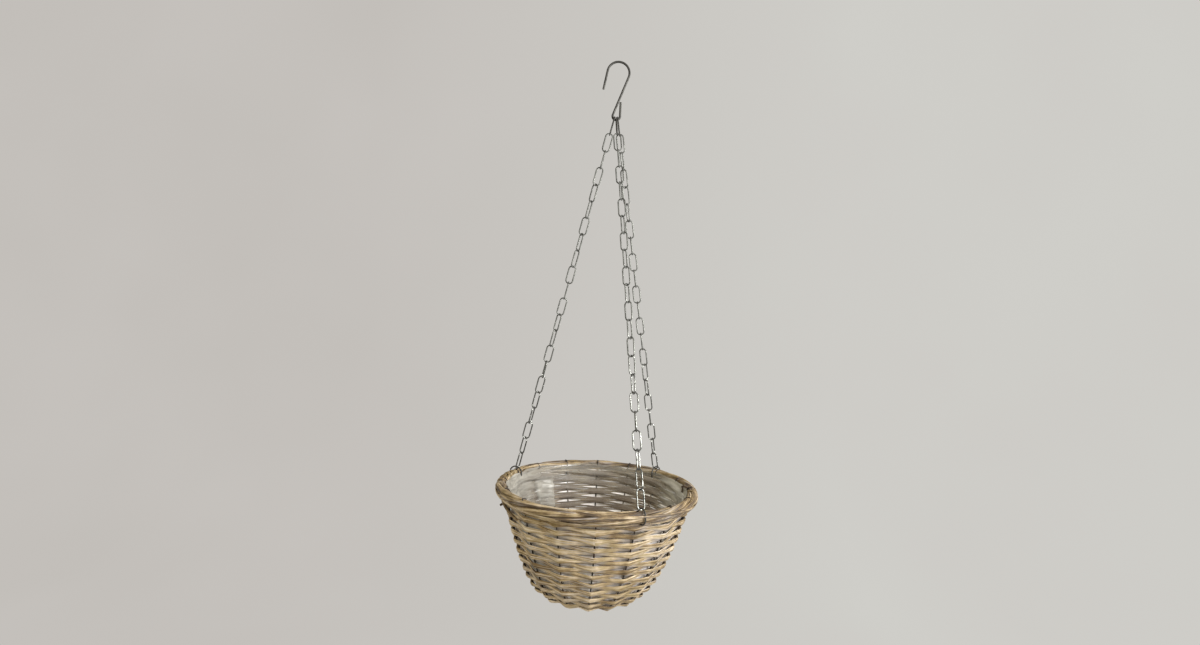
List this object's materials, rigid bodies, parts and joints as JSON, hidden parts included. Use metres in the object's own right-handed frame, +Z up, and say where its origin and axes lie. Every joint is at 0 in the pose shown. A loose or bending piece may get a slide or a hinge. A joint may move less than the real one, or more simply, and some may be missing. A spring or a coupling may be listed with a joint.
{
  "type": "hanging basket",
  "caption": "Round woven willow basket on a wire frame, hung on three straight-link chains from one wire hook.",
  "frame": {"origin": "inner side of the hook's crown, where the hook rests on what carries it", "axes": "+Z up, +X right in the plane of the hook, +Y away from the front"},
  "size_m": [0.2622, 0.2622, 0.6901],
  "materials": {
    "hook_steel": "galvanised, dull",
    "chain_steel": "galvanised, satin",
    "frame_wire": "dark, annealed",
    "border_willow": "peeled rods, satin",
    "weave_willow": "split rods, matt",
    "liner_film": "clear thin film"
  },
  "bodies": {
    "hook": {"hook": "hook_steel"},
    "top_links": {"chain_a_link_01": "chain_steel", "chain_b_link_01": "chain_steel", "chain_c_link_01": "chain_steel"},
    "basket": {"hoop_wire": "frame_wire", "rib_cage": "frame_wire", "border_rod_1": "border_willow", "border_rod_2": "border_willow", "border_rod_3": "border_willow", "border_rod_4": "border_willow", "weave_course_01": "weave_willow", "weave_course_02": "weave_willow", "weave_course_03": "weave_willow", "weave_course_04": "weave_willow", "weave_course_05": "weave_willow", "weave_course_06": "weave_willow", "weave_course_07": "weave_willow", "weave_course_08": "weave_willow", "weave_course_09": "weave_willow", "weave_course_10": "weave_willow", "weave_course_11": "weave_willow", "weave_course_12": "weave_willow", "weave_course_13": "weave_willow", "weave_course_14": "weave_willow", "weave_course_15": "weave_willow", "weave_course_16": "weave_willow", "weave_course_17": "weave_willow", "weave_course_18": "weave_willow", "weave_course_19": "weave_willow", "weave_course_20": "weave_willow", "weave_course_21": "weave_willow", "weave_course_22": "weave_willow", "weave_course_23": "weave_willow", "base_disc": "weave_willow", "liner": "liner_film"},
    "ring_a": {"chain_a_ring": "chain_steel"},
    "ring_b": {"chain_b_ring": "chain_steel"},
    "ring_c": {"chain_c_ring": "chain_steel"},
    "chain_a": {"chain_a_links_02_04": "chain_steel", "chain_a_links_05_07": "chain_steel", "chain_a_links_08_10": "chain_steel", "chain_a_links_11_13": "chain_steel", "chain_a_links_14_16": "chain_steel", "chain_a_links_17_19": "chain_steel", "chain_a_links_20_22": "chain_steel"},
    "chain_b": {"chain_b_links_02_04": "chain_steel", "chain_b_links_05_07": "chain_steel", "chain_b_links_08_10": "chain_steel", "chain_b_links_11_13": "chain_steel", "chain_b_links_14_16": "chain_steel", "chain_b_links_17_19": "chain_steel", "chain_b_links_20_22": "chain_steel"},
    "chain_c": {"chain_c_links_02_04": "chain_steel", "chain_c_links_05_07": "chain_steel", "chain_c_links_08_10": "chain_steel", "chain_c_links_11_13": "chain_steel", "chain_c_links_14_16": "chain_steel", "chain_c_links_17_19": "chain_steel", "chain_c_links_20_22": "chain_steel"}
  },
  "joints": [
    {"name": "eye_swing", "type": "hinge", "parent": "hook", "child": "top_links", "pos_m": [0, 0, -0.0728], "axis": [1, 0, 0], "range_deg": [-35, 35]},
    {"name": "basket_turn", "type": "hinge", "parent": "top_links", "child": "basket", "pos_m": [0, 0, -0.0948], "axis": [0, 0, 1], "range_deg": [-10, 10]},
    {"name": "ring_a_tilt", "type": "hinge", "parent": "basket", "child": "ring_a", "pos_m": [-0.11319, 0.05063, -0.55066], "axis": [-0.4083, -0.9128, 0], "range_deg": [-15, 15]},
    {"name": "ring_b_tilt", "type": "hinge", "parent": "basket", "child": "ring_b", "pos_m": [0.05182, -0.11266, -0.55066], "axis": [0.9085, 0.4179, 0], "range_deg": [-15, 15]},
    {"name": "ring_c_tilt", "type": "hinge", "parent": "basket", "child": "ring_c", "pos_m": [0.08457, 0.09069, -0.55066], "axis": [-0.7314, 0.682, 0], "range_deg": [-15, 15]},
    {"name": "chain_a_twist", "type": "hinge", "parent": "basket", "child": "chain_a", "pos_m": [-0.00194, 0, -0.06903], "axis": [0.2239, -0.1019, 0.9693], "range_deg": [-30, 30]},
    {"name": "chain_b_twist", "type": "hinge", "parent": "basket", "child": "chain_b", "pos_m": [0, 0, -0.0702], "axis": [-0.1044, 0.227, 0.9683], "range_deg": [-30, 30]},
    {"name": "chain_c_twist", "type": "hinge", "parent": "basket", "child": "chain_c", "pos_m": [0.00194, 0, -0.06903], "axis": [-0.1663, -0.1825, 0.9691], "range_deg": [-30, 30]}
  ]
}
